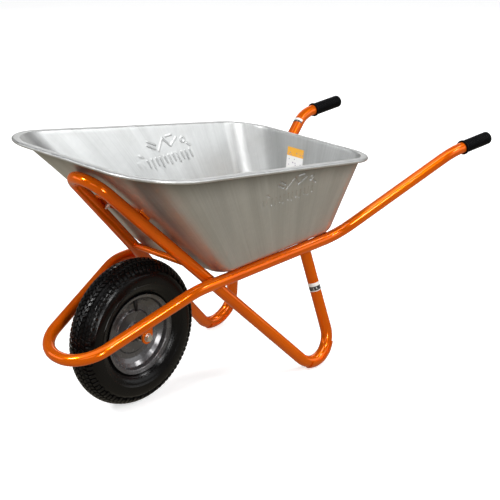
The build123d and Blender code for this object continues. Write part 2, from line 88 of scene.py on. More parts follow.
# The distance along the tray's section, from the middle of its floor to the top of the wall
WALL_TOP_V = 0.521
FLOOR_FRONT_X, FLOOR_REAR_X = -0.173, -0.650
FLOOR_HALF_FRONT, FLOOR_HALF_REAR, FLOOR_DROP = 0.171, 0.158, 0.004
FLOOR_CORNER_FRONT, FLOOR_CORNER_REAR = 0.050, 0.080
FLOOR_EDGE_R = 0.026
FRONT_STRAP_UP, STRAP_T, STRAP_W = 0.278, 0.006, 0.045
BRACKET_Y, BRACKET_T, BRACKET_W, BRACKET_BEND_Z, BRACKET_REACH = 0.0585, 0.005, 0.035, 0.238, 0.010
GRIP_R, GRIP_LENGTH, COLLAR_RISE, COLLAR_T = 0.0185, 0.120, 0.0025, 0.007
# The thickness of the grip's closed end, which the handle stops at, and the grip's gap round the tube
GRIP_END_T, GRIP_GAP = 0.005, 0.0002


# --- Materials --------------------------------------------------------------------------------

class Shade:
    """A small helper that builds one node material round a Principled shader."""

    def __init__(self, name, **values):
        self.material = bpy.data.materials.new(name)
        self.material.use_nodes = True
        self.tree = self.material.node_tree
        self.shader = self.tree.nodes["Principled BSDF"]
        self.place = self.node("ShaderNodeTexCoord")
        for socket, value in values.items():
            self.shader.inputs[socket.replace("_", " ")].default_value = value

    def node(self, kind, **values):
        made = self.tree.nodes.new(kind)
        for name, value in values.items():
            setattr(made, name, value)
        return made

    def link(self, start, end):
        self.tree.links.new(start, end)

    def coords(self, uv=False, scale=(1, 1, 1)):
        """Object or UV coordinates, stretched by a scale."""
        mapping = self.node("ShaderNodeMapping")
        mapping.inputs["Scale"].default_value = scale
        self.link(self.place.outputs["UV" if uv else "Object"], mapping.inputs["Vector"])
        return mapping.outputs["Vector"]

    def noise(self, scale, detail=4.0, roughness=0.55, where=None, distortion=0.0):
        made = self.node("ShaderNodeTexNoise")
        made.inputs["Scale"].default_value = scale
        made.inputs["Detail"].default_value = detail
        made.inputs["Roughness"].default_value = roughness
        made.inputs["Distortion"].default_value = distortion
        self.link(where or self.coords(), made.inputs["Vector"])
        return made.outputs["Fac"]

    def ramp(self, value, low, high, colours):
        """Spread a value between two limits over two or more colours."""
        made = self.node("ShaderNodeValToRGB")
        stops = made.color_ramp.elements
        while len(stops) < len(colours):
            stops.new(0.5)
        for i, colour in enumerate(colours):
            stops[i].position = low + (high - low) * i / (len(colours) - 1)
            stops[i].color = (*colour, 1)
        self.link(value, made.inputs["Fac"])
        return made.outputs["Color"]

    def spread(self, value, low, high, start=0.0, end=1.0):
        made = self.node("ShaderNodeMapRange")
        for socket, number in zip(("From Min", "From Max", "To Min", "To Max"), (low, high, start, end)):
            made.inputs[socket].default_value = number
        self.link(value, made.inputs["Value"])
        return made.outputs["Result"]

    def mix(self, share, one, other):
        made = self.node("ShaderNodeMix", data_type="RGBA")
        for socket, thing in ((0, share), (6, one), (7, other)):
            if isinstance(thing, (int, float)):
                made.inputs[socket].default_value = thing
            elif isinstance(thing, tuple):
                made.inputs[socket].default_value = (*thing, 1)
            else:
                self.link(thing, made.inputs[socket])
        return made.outputs[2]

    def maths(self, operation, one, other=0.0):
        made = self.node("ShaderNodeMath", operation=operation)
        for socket, thing in ((0, one), (1, other)):
            if isinstance(thing, (int, float)):
                made.inputs[socket].default_value = thing
            else:
                self.link(thing, made.inputs[socket])
        return made.outputs[0]

    def colour(self, output):
        self.link(output, self.shader.inputs["Base Color"])

    def rough(self, output):
        self.link(output, self.shader.inputs["Roughness"])

    def bump(self, height, strength, distance=0.001):
        made = self.node("ShaderNodeBump")
        made.inputs["Strength"].default_value = strength
        made.inputs["Distance"].default_value = distance
        self.link(height, made.inputs["Height"])
        before = self.shader.inputs["Normal"].links
        if before:
            self.link(before[0].from_socket, made.inputs["Normal"])
        self.link(made.outputs["Normal"], self.shader.inputs["Normal"])


def paint_material():
    """Glossy orange powder coat: orange peel, faint shade changes, dust and a few scuffs."""
    s = Shade("orange_paint", Metallic=0.5, Coat_Weight=0.4, Coat_Roughness=0.02, Specular_IOR_Level=0.0)
    tone = s.ramp(s.noise(7.0, 3.0), 0.3, 0.7, [(0.68, 0.098, 0.0002), (0.80, 0.136, 0.0003)])
    dust = s.spread(s.noise(55.0, 8.0, 0.7), 0.60, 0.78, 0.0, 0.07)
    tone = s.mix(dust, tone, (0.46, 0.15, 0.04))
    scuff = s.spread(s.noise(1.0, 6.0, 0.6, s.coords(scale=(260, 40, 90))), 0.73, 0.79, 0.0, 0.14)
    s.colour(s.mix(scuff, tone, (0.40, 0.06, 0.002)))
    s.rough(s.spread(s.noise(22.0, 5.0), 0.3, 0.75, 0.15, 0.23))
    s.bump(s.noise(420.0, 2.0), 0.03, 0.0004)
    s.bump(scuff, 0.15, 0.0004)
    return s.material


def galvanised_material():
    """Galvanised sheet: faint spangle, streaks up the walls from deep drawing, dull patches, and a painted
    shade under the rim outside.
    """
    s = Shade("galvanised_sheet", Metallic=0.88)
    streak = s.noise(1.0, 6.0, 0.62, s.coords(True, (150, 2.2, 1)), 0.2)
    broad = s.noise(1.0, 4.0, 0.5, s.coords(True, (17, 1.6, 1)), 0.4)
    patch = s.noise(7.0, 5.0, 0.6)
    spangle = s.node("ShaderNodeTexVoronoi", feature="F1")
    spangle.inputs["Scale"].default_value = 95.0
    s.link(s.coords(), spangle.inputs["Vector"])
    flake = s.node("ShaderNodeSeparateColor")
    s.link(spangle.outputs["Color"], flake.inputs["Color"])
    tone = s.ramp(broad, 0.3, 0.7, [(0.43, 0.435, 0.43), (0.56, 0.565, 0.56)])
    tone = s.mix(s.spread(streak, 0.35, 0.75, 0.0, 0.42), tone, (0.70, 0.71, 0.71))
    tone = s.mix(s.spread(flake.outputs["Red"], 0.0, 1.0, 0.0, 0.10), tone, (0.36, 0.37, 0.38))
    tone = s.mix(s.spread(patch, 0.56, 0.78, 0.0, 0.30), tone, (0.37, 0.365, 0.345))
    # The outside's V starts at 1. The band under the rim on the outside is a painted shade, darkened only
    # to match the photograph's shading there, whose cause isn't known
    along_wall = s.node("ShaderNodeSeparateXYZ")
    s.link(s.place.outputs["UV"], along_wall.inputs["Vector"])
    painted_shade_under_rim = s.spread(along_wall.outputs["Y"], 1 + WALL_TOP_V - 0.095, 1 + WALL_TOP_V - 0.004, 0.0, 1.0)
    painted_shade_under_rim = s.maths("POWER", painted_shade_under_rim, 1.9)
    # The painted shade under the rim: the outside's colour mixed toward a dark brown
    s.colour(s.mix(s.maths("MULTIPLY", painted_shade_under_rim, 0.8), tone, (0.065, 0.055, 0.040)))
    rough = s.maths("ADD", s.spread(streak, 0.3, 0.75, 0.31, 0.45), s.spread(patch, 0.3, 0.8, 0.0, 0.10))
    s.rough(s.maths("ADD", rough, s.spread(flake.outputs["Green"], 0.0, 1.0, -0.03, 0.03)))
    s.bump(streak, 0.16, 0.0004)
    s.bump(broad, 0.35, 0.0012)
    return s.material


def zinc_material(name="zinc_plate", tone=(0.80, 0.79, 0.75), rough=(0.22, 0.40)):
    """Bright zinc on fasteners and bearings, dulled in patches, with fine turning marks."""
    s = Shade(name, Metallic=1.0)
    dull = s.noise(120.0, 6.0, 0.6)
    dark = tuple(0.62 * c for c in tone)
    s.colour(s.ramp(dull, 0.32, 0.7, [tone, dark]))
    s.rough(s.spread(dull, 0.3, 0.75, *rough))
    s.bump(s.noise(1.0, 3.0, 0.5, s.coords(scale=(900, 60, 900))), 0.12, 0.0003)
    return s.material


def rubber_material(name, tone, dusty, rough, gloss=0.2, grain=320.0, strength=0.35):
    """Black rubber or moulded plastic: fine grain, a dusty bloom and uneven gloss."""
    s = Shade(name, Specular_IOR_Level=gloss)
    bloom = s.noise(26.0, 7.0, 0.66)
    s.colour(s.mix(s.spread(bloom, 0.46, 0.76, 0.0, 0.55), tone, dusty))
    s.rough(s.spread(s.noise(48.0, 5.0), 0.3, 0.75, *rough))
    s.bump(s.noise(grain, 4.0, 0.6), strength, 0.0005)
    return s.material


def rim_material():
    """Silver grey paint on the pressed rim, with a faint mottle and patches of fine grime."""
    s = Shade("rim_grey_paint", Metallic=0.5, Coat_Weight=0.4, Coat_Roughness=0.05)
    mottle = s.noise(30.0, 6.0, 0.6)
    tone = s.ramp(mottle, 0.3, 0.72, [(0.076, 0.072, 0.074), (0.108, 0.107, 0.112)])
    grime = s.spread(s.noise(75.0, 8.0, 0.72), 0.56, 0.75, 0.0, 0.4)
    s.colour(s.mix(grime, tone, (0.085, 0.070, 0.060)))
    s.rough(s.spread(mottle, 0.3, 0.75, 0.20, 0.34))
    s.bump(s.noise(380.0, 3.0), 0.14, 0.0005)
    return s.material


def stepped(s, value, stops):
    """A ramp with hard steps: each stop is where a colour starts."""
    made = s.node("ShaderNodeValToRGB")
    made.color_ramp.interpolation = "CONSTANT"
    elements = made.color_ramp.elements
    while len(elements) < len(stops):
        elements.new(0.99)
    for element, (start, colour) in zip(elements, stops):
        element.position = start
        element.color = (*colour, 1)
    s.link(value, made.inputs["Fac"])
    return made.outputs["Color"]


def label_material(name, low, high, way, bands, marks, mark_tone):
    """A printed film in plain bands along a direction, with plain blocks for a pattern.

    marks gives where the blocks start and end, as shares of the film, and their density.
    """
    first, last, density = marks
    s = Shade(name, Coat_Weight=0.4, Coat_Roughness=0.1)
    along = s.node("ShaderNodeVectorMath", operation="DOT_PRODUCT")
    s.link(s.place.outputs["Object"], along.inputs[0])
    along.inputs[1].default_value = way
    height = s.spread(along.outputs["Value"], low, high)
    tone = stepped(s, height, bands)
    blocks = s.node("ShaderNodeTexVoronoi", feature="F1", distance="CHEBYCHEV")
    blocks.inputs["Scale"].default_value = density
    s.link(s.coords(), blocks.inputs["Vector"])
    spots = s.spread(blocks.outputs["Distance"], 0.16, 0.22, 1.0, 0.0)
    zone = stepped(s, height, [(0.0, (0, 0, 0)), (first, (1, 1, 1)), (last, (0, 0, 0))])
    tone = s.mix(s.maths("MULTIPLY", spots, zone), tone, mark_tone)
    faded = s.spread(s.noise(90.0, 6.0), 0.5, 0.8, 0.0, 0.18)
    s.colour(s.mix(faded, tone, (0.62, 0.60, 0.55)))
    s.rough(s.spread(s.noise(60.0, 4.0), 0.3, 0.75, 0.28, 0.45))
    s.bump(s.noise(160.0, 4.0), 0.12, 0.0003)
    return s.material


def floor_material():
    """A plain pale studio floor, matt, with the faintest mottle."""
    s = Shade("studio_floor", Specular_IOR_Level=0.15)
    s.colour(s.ramp(s.noise(1.7, 4.0), 0.3, 0.7, [(0.80, 0.80, 0.80), (0.83, 0.83, 0.83)]))
    s.rough(s.spread(s.noise(3.0, 3.0), 0.3, 0.7, 0.86, 0.92))
    s.shader.inputs["Emission Color"].default_value = (1, 1, 1, 1)
    s.shader.inputs["Emission Strength"].default_value = 0.55
    return s.material


orange = paint_material()
galvanised = galvanised_material()
zinc = zinc_material()
bearing_steel = zinc_material("bearing_steel", (0.56, 0.56, 0.57), (0.14, 0.26))
tyre_rubber = rubber_material(
    "tyre_rubber", (0.0022, 0.0020, 0.0021), (0.0045, 0.0038, 0.0036), (0.17, 0.32), 0.2)
grip_rubber = rubber_material(
    "grip_rubber", (0.0014, 0.0014, 0.0019), (0.0035, 0.0035, 0.004), (0.34, 0.55), 0.05, 520.0)
butyl = rubber_material("butyl", (0.012, 0.012, 0.012), (0.03, 0.03, 0.03), (0.5, 0.7))
cap_plastic = rubber_material("cap_plastic", (0.008, 0.008, 0.008), (0.02, 0.02, 0.02), (0.3, 0.45))
rim_grey = rim_material()


# --- Mesh helpers -----------------------------------------------------------------------------

def from_axle(point, side=1):
    """A CAD place, given from the axle, as a vector in the row frame."""
    return Vector((AXLE.x + point[0], side * point[1], point[2]))


def piece(name, verts, faces, material, body, sharp=32.0, uvs=None):
    """Make a smooth-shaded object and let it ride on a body."""
    mesh = bpy.data.meshes.new(name)
    mesh.from_pydata([tuple(v) for v in verts], [], [tuple(int(i) for i in f) for f in faces])
    mesh.validate()
    mesh.materials.append(material)
    if uvs is not None:
        layer = mesh.uv_layers.new(name="UVMap")
        corner = np.empty(len(mesh.loops), np.int32)
        mesh.loops.foreach_get("vertex_index", corner)
        layer.data.foreach_set("uv", np.asarray(uvs, np.float32)[corner].ravel())
    mesh.polygons.foreach_set("use_smooth", np.ones(len(mesh.polygons), bool))
    mesh.set_sharp_from_angle(angle=math.radians(sharp))
    made = bpy.data.objects.new(name, mesh)
    bpy.context.scene.collection.objects.link(made)
    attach(made, body)
    return made


def grid_faces(rows, columns, wrap_rows=False, start=0):
    """Quads over a grid of vertices stored row by row, whose columns close into a ring."""
    faces = []
    for i in range(rows if wrap_rows else rows - 1):
        for j in range(columns):
            k, n = (i + 1) % rows, (j + 1) % columns
            faces.append((start + i * columns + j, start + i * columns + n,
                          start + k * columns + n, start + k * columns + j))
    return faces


def rounded_route(points, radii, step=3.0):
    """Points along a polyline whose corners are rounded to the radii, one point per few degrees."""
    out = [points[0]]
    for i in range(1, len(points) - 1):
        back = (points[i - 1] - points[i]).normalized()
        on = (points[i + 1] - points[i]).normalized()
        turn = math.pi - back.angle(on)
        radius = radii[i - 1]
        reach = radius * math.tan(turn / 2)
        centre = points[i] + (back + on).normalized() * (radius / math.cos(turn / 2))
        start, end = points[i] + back * reach - centre, points[i] + on * reach - centre
        count = max(3, math.ceil(math.degrees(turn) / step))
        for k in range(count + 1):
            t = k / count
            swung = start * math.sin((1 - t) * turn) + end * math.sin(t * turn)
            out.append(centre + swung / math.sin(turn))
    out.append(points[-1])
    return out


def sweep_rings(route, rings_at, closed=False):
    """The vertices of a sweep: rings_at(i) gives ring i as (radius, angle) pairs, and none twists."""
    count = len(route)
    way = []
    for i in range(count):
        if closed:
            ahead, behind = route[(i + 1) % count], route[i - 1]
        else:
            ahead, behind = route[min(i + 1, count - 1)], route[max(i - 1, 0)]
        way.append((ahead - behind).normalized())
    side = way[0].orthogonal().normalized()
    frames = []
    for i in range(count):
        side = (side - way[i] * side.dot(way[i])).normalized()
        frames.append((route[i], side, way[i].cross(side)))
    verts = []
    for i, (point, one, other) in enumerate(frames):
        for radius, angle in rings_at(i):
            verts.append(point + one * (radius * math.cos(angle)) + other * (radius * math.sin(angle)))
    return verts


def tube_piece(name, route, radius, wall, material, around=48):
    """A hollow tube along a route, open at both ends, with the wall's thickness shown there."""
    outer = [(radius, 2 * math.pi * j / around) for j in range(around)]
    inner = [(radius - wall, 2 * math.pi * j / around) for j in range(around)]
    verts = sweep_rings(route, lambda i: outer)
    verts += sweep_rings(route, lambda i: inner)
    rows = len(route)
    faces = grid_faces(rows, around)
    faces += [f[::-1] for f in grid_faces(rows, around, start=rows * around)]
    for end, flip in ((0, True), (rows - 1, False)):
        for j in range(around):
            n = (j + 1) % around
            a, b = end * around + j, end * around + n
            c, d = rows * around + b, rows * around + a
            faces.append((a, b, c, d)[::-1] if flip else (a, b, c, d))
    return piece(name, verts, faces, material, "frame")


def bead_piece(name, route, radius, closed, pitch=0.0034):
    """A weld bead: a small tube with overlapping ripples, that dies away at an open bead's ends."""
    around = 10
    length = [0.0]
    for a, b in zip(route, route[1:]):
        length.append(length[-1] + (b - a).length)
    last = len(route) - 1

    def ring(i):
        ripple = (length[i] / pitch) % 1.0
        size = radius * (0.86 + 0.22 * ripple)
        if not closed:
            size *= min(1.0, 0.35 + 3.0 * min(i, last - i) / max(last, 1))
        return [(size, 2 * math.pi * j / around) for j in range(around)]

    verts = sweep_rings(route, ring, closed)
    faces = grid_faces(len(route), around, wrap_rows=closed)
    if not closed:
        faces.append(tuple(range(around))[::-1])
        faces.append(tuple(last * around + j for j in range(around)))
    return piece(name, verts, faces, orange, "frame", 60.0)


def resampled(route, step, closed=False):
    """The same line with evenly spaced points."""
    line = [np.array(p) for p in route] + ([np.array(route[0])] if closed else [])
    gaps = [np.linalg.norm(b - a) for a, b in zip(line, line[1:])]
    at = np.concatenate([[0], np.cumsum(gaps)])
    count = max(4, int(round(at[-1] / step)))
    places = np.linspace(0, at[-1], count + 1)
    if closed:
        places = places[:-1]
    columns = [np.interp(places, at, [p[k] for p in line]) for k in range(3)]
    return [Vector(p) for p in np.stack(columns, 1)]


# --- Frame tubes ------------------------------------------------------------------------------

def both_sides(points):
    return [from_axle(p) for p in points] + [from_axle(p, -1) for p in reversed(points)]


grip_tip = from_axle(GRIP_END)
handle_end = grip_tip + (from_axle(HANDLE_BEND) - grip_tip).normalized() * GRIP_END_T
handle_tip = (handle_end.x - AXLE.x, handle_end.y, handle_end.z)
main_route = rounded_route(
    both_sides([handle_tip, HANDLE_BEND, RAIL_REAR, RAIL_FRONT, NOSE_CORNER]),
    MAIN_BENDS + MAIN_BENDS[::-1], 2.0)
main_tube = tube_piece("main_tube", main_route, TUBE_R, TUBE_WALL, orange)
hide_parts("main_frame_tube")

support_route = rounded_route(
    both_sides([STRUT_TOP, FOOT_CORNER, ARM_TOP]), SUPPORT_BENDS + SUPPORT_BENDS[::-1], 3.0)
support = tube_piece("support_tube_skin", support_route, TUBE_R, TUBE_WALL, orange)
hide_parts("support_tube")


# --- Tray -------------------------------------------------------------------------------------

def tilted_plane(rear, front):
    """Origin, forward, up and length of a plane that slopes along the barrow's middle."""
    forward = (front - rear).normalized()
    return rear, forward, Vector((-forward.z, 0, forward.x)), (front - rear).length


def floor_height(x):
    slope = (RAIL_FRONT[2] - RAIL_REAR[2]) / (RAIL_FRONT[0] - RAIL_REAR[0])
    backwards = (x - FLOOR_FRONT_X) / (FLOOR_REAR_X - FLOOR_FRONT_X)
    return RAIL_REAR[2] + slope * (x - RAIL_REAR[0]) + TUBE_R + SEAT_GAP - FLOOR_DROP * backwards


floor_level = tilted_plane(
    Vector((AXLE.x + FLOOR_REAR_X, 0, floor_height(FLOOR_REAR_X))),
    Vector((AXLE.x + FLOOR_FRONT_X, 0, floor_height(FLOOR_FRONT_X))))
rim_level = tilted_plane(
    Vector((AXLE.x + RIM_REAR[0], 0, RIM_REAR[1])),
    Vector((AXLE.x + RIM_FRONT[0], 0, RIM_FRONT[1])))
SIDE_STEPS, END_STEPS, CORNER_STEPS = 250, 44, 36
# The side walls' grid is finer where the ribs are pressed, given as a share of each side's length
RIB_ZONE, RIB_ZONE_STEPS = (0.17, 0.58), 190
WALL_STEPS, RIB_ROWS, RIB_ROW_STEPS = 96, (0.57, 0.94), 72
# The ribs' heights differ only to match the photograph's contrast on each side from its camera
LEFT_RIB_RISE, RIGHT_RIB_RISE, RIB_HALF_WIDTH, WAVE_RISE = 0.0030, 0.0011, 0.0034, 0.0004


def uneven_shares(steps, zone, zone_steps):
    """Shares from 0 up to 1, not included, with a given number of them in a finer zone."""
    rest = steps - zone_steps
    before = max(1, round(rest * zone[0] / (1 - zone[1] + zone[0])))
    start = np.linspace(0, zone[0], before, endpoint=False)
    fine = np.linspace(zone[0], zone[1], zone_steps, endpoint=False)
    after = np.linspace(zone[1], 1, rest - before, endpoint=False)
    return np.concatenate([start, fine, after])


def outline(length, half_rear, half_front, corner_rear, corner_front, inset):
    """A tapered outline with round corners as flat points, counter-clockwise from the rear right."""
    rear, front = inset, length - inset
    wide_rear, wide_front = half_rear - inset, half_front - inset
    corners = [(rear, -wide_rear, corner_rear), (front, -wide_front, corner_front),
               (front, wide_front, corner_front), (rear, wide_rear, corner_rear)]
    ends = []
    for i, (x, y, radius) in enumerate(corners):
        radius -= inset
        here = Vector((x, y))
        back = (Vector(corners[i - 1][:2]) - here).normalized()
        on = (Vector(corners[(i + 1) % 4][:2]) - here).normalized()
        turn = math.pi - back.angle(on)
        reach = radius * math.tan(turn / 2)
        centre = here + (back + on).normalized() * (radius / math.cos(turn / 2))
        ends.append((here + back * reach, here + on * reach, centre, turn))
    points = []
    for i in range(4):
        start, end, centre, turn = ends[i]
        for k in range(CORNER_STEPS):
            t = k / CORNER_STEPS
            swung = (start - centre) * math.sin((1 - t) * turn) + (end - centre) * math.sin(t * turn)
            points.append(centre + swung / math.sin(turn))
        following = ends[(i + 1) % 4][0]
        if i % 2 == 0:
            zone = RIB_ZONE if i == 0 else (1 - RIB_ZONE[1], 1 - RIB_ZONE[0])
            shares = uneven_shares(SIDE_STEPS, zone, RIB_ZONE_STEPS)
        else:
            shares = np.arange(END_STEPS) / END_STEPS
        for share in shares:
            points.append(end.lerp(following, share))
    return np.array([tuple(p) for p in points])


def lifted(flat, level, height):
    """Flat outline points in a sloping plane, as rows of X, Y, Z."""
    origin, forward, up, _ = level
    place = np.array(origin) + np.array(up) * height
    return place + flat[:, :1] * np.array(forward) + flat[:, 1:2] * np.array([0, 1, 0])


def unit(rows):
    return rows / np.linalg.norm(rows, axis=1, keepdims=True)


def corner_arc(corner, arrive, leave, radius, steps):
    """Points round a corner between two directions, tangent to both, for every column at once."""
    turn = np.arccos(np.clip((arrive * leave).sum(1), -1, 1))[:, None]
    reach = radius * np.tan(turn / 2)
    inward = unit(leave - arrive)
    centre = corner + inward * (radius / np.cos(turn / 2))
    start, end = corner - arrive * reach - centre, corner + leave * reach - centre
    for k in range(steps + 1):
        t = k / steps
        yield centre + (start * np.sin((1 - t) * turn) + end * np.sin(t * turn)) / np.sin(turn)


floor_shape = (FLOOR_HALF_REAR, FLOOR_HALF_FRONT, FLOOR_CORNER_REAR, FLOOR_CORNER_FRONT)
rim_shape = (RIM_HALF_REAR, RIM_HALF_FRONT, RIM_CORNER_REAR, RIM_CORNER_FRONT)
floor_edge = lifted(outline(floor_level[3], *floor_shape, SHEET / 2), floor_level, SHEET / 2)
wall_top = lifted(outline(rim_level[3], *rim_shape, WALL_INSET + SHEET / 2), rim_level, ROLL_R)
curl_centre = lifted(outline(rim_level[3], *rim_shape, ROLL_R), rim_level, 0.0)
rim_up = np.array(rim_level[2])
wall_way = unit(wall_top - floor_edge)
# A second outline, further in, tells which way is out of the floor at every column
further_in = SHEET / 2 + 0.02
inner_edge = lifted(outline(floor_level[3], *floor_shape, further_in), floor_level, SHEET / 2)
floor_out = unit(floor_edge - inner_edge)
drop = ((wall_top - np.array(rim_level[0])) @ rim_up - CURL_R) / (wall_way @ rim_up)
wall_end = wall_top - wall_way * drop[:, None]
flange_out = unit(curl_centre + rim_up * CURL_R - wall_end)

levels = []
fillet = list(corner_arc(floor_edge, floor_out, wall_way, FLOOR_EDGE_R - SHEET / 2, 10))
floor_centre = fillet[0].mean(0)
# The floor's rings, as shares of the way from its middle to its edge
for share in (0.08, 0.3, 0.5, 0.65, 0.78, 0.88, 0.95):
    levels.append(floor_centre + (fillet[0] - floor_centre) * share)
levels += fillet
rim_bend = list(corner_arc(wall_end, wall_way, flange_out, RIM_BEND_R, 5))
for share in uneven_shares(WALL_STEPS, RIB_ROWS, RIB_ROW_STEPS)[1:]:
    levels.append(fillet[-1] + (rim_bend[0] - fillet[-1]) * share)
wall_first, wall_last = len(levels) - WALL_STEPS + 1, len(levels)
levels += rim_bend
for k in range(CURL_START, CURL_TURN + 1, CURL_STEP):
    angle = math.radians(k)
    levels.append(curl_centre + CURL_R * (rim_up * math.cos(angle) + flange_out * math.sin(angle)))
middle = np.array(levels)
rows, columns = middle.shape[:2]

around = unit(np.roll(middle, -1, 1).reshape(-1, 3) - np.roll(middle, 1, 1).reshape(-1, 3))
upward = unit(np.gradient(middle, axis=0).reshape(-1, 3))
inside = unit(np.cross(upward, around)).reshape(rows, columns, 3)
# A row about two thirds up the wall tells which way the normals point: they have to face the load
probe_row = wall_first + 40
centre_way = floor_centre + np.array([0, 0, 0.4]) - middle[probe_row]
if (inside[probe_row] * centre_way).sum() < 0:
    inside = -inside

# Plain pressed ribs, high on both side walls, as strokes between two (x, z), with x from the axle
PRESSED = [
    ((-0.402, 0.596), (-0.376, 0.578)), ((-0.376, 0.578), (-0.352, 0.603)),
    ((-0.352, 0.603), (-0.330, 0.574)), ((-0.388, 0.606), (-0.366, 0.606)),
    ((-0.322, 0.590), (-0.296, 0.604)), ((-0.318, 0.580), (-0.292, 0.594)),
    ((-0.448, 0.566), (-0.436, 0.574)), ((-0.268, 0.566), (-0.256, 0.574)),
]
SHORT_RIBS, RIB_PITCH = 13, 0.0158
PRESSED += [((-0.446 + RIB_PITCH * k, 0.537 - 0.005 * (k % 2)), (-0.439 + RIB_PITCH * k, 0.556))
            for k in range(SHORT_RIBS)]
RING_CENTRE, RING_RADIUS = (-0.424, 0.586), 0.007
wall_x = middle[..., 0] - AXLE.x
wall_z = middle[..., 2]
nearest = np.abs(np.hypot(wall_x - RING_CENTRE[0], wall_z - RING_CENTRE[1]) - RING_RADIUS)
for (x0, z0), (x1, z1) in PRESSED:
    run = np.array([x1 - x0, z1 - z0])
    share = ((wall_x - x0) * run[0] + (wall_z - z0) * run[1]) / (run @ run)
    share = np.clip(share, 0, 1)
    nearest = np.minimum(nearest, np.hypot(wall_x - x0 - share * run[0], wall_z - z0 - share * run[1]))
on_wall = np.zeros(rows, bool)
on_wall[wall_first:wall_last] = True
on_left = inside[..., 1] < -0.5
on_right = inside[..., 1] > 0.5
rib_rise = LEFT_RIB_RISE * on_left + RIGHT_RIB_RISE * on_right
rise = np.clip(1 - (nearest / RIB_HALF_WIDTH) ** 2, 0, 1) ** 1.5 * rib_rise * on_wall[:, None]
# The sheet is never quite flat after drawing: waves well under a millimetre in the walls
wave = WAVE_RISE * np.sin(middle[..., 0] * 31 + middle[..., 1] * 17) * np.sin(middle[..., 2] * 23 + 1.0)
middle += inside * (rise + wave * on_wall[:, None])[..., None]

skins = [middle + inside * (SHEET / 2), middle - inside * (SHEET / 2)]
tray_verts = [p for skin in skins for row in skin for p in row]
skin_size = rows * columns
tray_faces = grid_faces(rows, columns)
tray_faces += [tuple(i + skin_size for i in f[::-1]) for f in grid_faces(rows, columns)]
last = (rows - 1) * columns
for j in range(columns):
    n = (j + 1) % columns
    tray_faces.append((last + j, last + n, skin_size + last + n, skin_size + last + j))
tray_verts += [floor_centre + inside[0].mean(0) * (s * SHEET / 2) for s in (1, -1)]
for j in range(columns):
    n = (j + 1) % columns
    tray_faces.append((n, j, 2 * skin_size))
    tray_faces.append((skin_size + j, skin_size + n, 2 * skin_size + 1))
run_u = np.concatenate([[0], np.cumsum(np.linalg.norm(np.diff(wall_top, axis=0), axis=1))])
rise_v = np.concatenate([[0], np.cumsum(np.linalg.norm(np.diff(middle, axis=0), axis=2).mean(1))])
uv_grid = np.stack(np.broadcast_arrays(run_u[None, :], rise_v[:, None]), -1).reshape(-1, 2)
tray_uvs = np.concatenate([uv_grid, uv_grid + [0, 1], [[0, 0], [0, 1]]])
tray_skin = piece("tray_skin", tray_verts, tray_faces, galvanised, "frame", 40.0, tray_uvs)
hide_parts("tray")


# --- Tyre -------------------------------------------------------------------------------------

def arc_points(start, through, end, steps):
    """Points along the arc through three flat points, both ends included."""
    (ax, ay), (bx, by), (cx, cy) = start, through, end
    d = 2 * (ax * (by - cy) + bx * (cy - ay) + cx * (ay - by))
    ux = ((ax**2 + ay**2) * (by - cy) + (bx**2 + by**2) * (cy - ay) + (cx**2 + cy**2) * (ay - by)) / d
    uy = ((ax**2 + ay**2) * (cx - bx) + (bx**2 + by**2) * (ax - cx) + (cx**2 + cy**2) * (bx - ax)) / d
    radius = math.hypot(ax - ux, ay - uy)
    a0, a1, a2 = (math.atan2(y - uy, x - ux) for x, y in (start, through, end))
    sweep = (a2 - a0) % (2 * math.pi)
    if (a1 - a0) % (2 * math.pi) > sweep:
        sweep -= 2 * math.pi
    return [(ux + radius * math.cos(a0 + sweep * k / steps), uy + radius * math.sin(a0 + sweep * k / steps))
            for k in range(steps + 1)]


high_wall = (TYRE_HALF_WIDTH - 0.002, TYRE_BULGE_R + 0.018)
low_wall = (TYRE_HALF_WIDTH - 0.005, BEAD_R + 0.027)
bulge = (TYRE_HALF_WIDTH, TYRE_BULGE_R)
shoulder = (SHOULDER_Y, SHOULDER_R)
toe, heel = (SEAT_Y + 0.003, BEAD_R + 0.0005), (FLANGE_Y - 0.0046, BEAD_R + 0.0016)
flange_top = (FLANGE_Y - 0.0024, FLANGE_R + 0.0015)
inner_low, inner_side = (low_wall[0] - CASING_T, low_wall[1]), (bulge[0] - CASING_T, TYRE_BULGE_R)
inner_shoulder = (SHOULDER_Y - CASING_T - 0.003, SHOULDER_R - CROWN_T + 0.003)
crown = arc_points((0, WHEEL_R), (SHOULDER_Y * 0.55, WHEEL_R - 0.0045), shoulder, 16)
crown += arc_points(shoulder, high_wall, bulge, 24)[1:]
crown = np.array(crown)
crown_run = np.concatenate([[0], np.cumsum(np.linalg.norm(np.diff(crown, axis=0), axis=1))])
SHOULDER_RUN = float(np.interp(SHOULDER_Y, crown[:17, 0], crown_run[:17]))
TREAD_DEPTH, LUG_END = 0.0048, SHOULDER_RUN + 0.014
# The grooves' depth dies away over this distance, which ends a little beyond the lugs
GROOVE_FADE, GROOVE_BEYOND = 0.012, 0.004
# Moulded rings on the side wall, as (radius, half-width, height)
SIDE_RINGS = ((0.1415, 0.0012, 0.0009), (0.1385, 0.0008, 0.0006), (0.1225, 0.0022, 0.0012))


def crown_at(run):
    """The outer profile at a distance from the middle, (across, radius), and its outward normal."""
    far = abs(run)
    y, r = np.interp(far, crown_run, crown[:, 0]), np.interp(far, crown_run, crown[:, 1])
    step = 0.0008
    y2, r2 = np.interp(far + step, crown_run, crown[:, 0]), np.interp(far + step, crown_run, crown[:, 1])
    y1 = np.interp(max(far - step, 0), crown_run, crown[:, 0])
    r1 = np.interp(max(far - step, 0), crown_run, crown[:, 1])
    length = math.hypot(y2 - y1, r2 - r1)
    side = 1 if run >= 0 else -1
    return side * y, r, side * -(r2 - r1) / length, (y2 - y1) / length


def casing_depth(run):
    return TREAD_DEPTH * min(1.0, max(0.0, (LUG_END + GROOVE_BEYOND - abs(run)) / GROOVE_FADE))


def on_wheel(across, radius, angle):
    return Vector((AXLE.x + radius * math.sin(angle), across, AXLE.z + radius * math.cos(angle)))


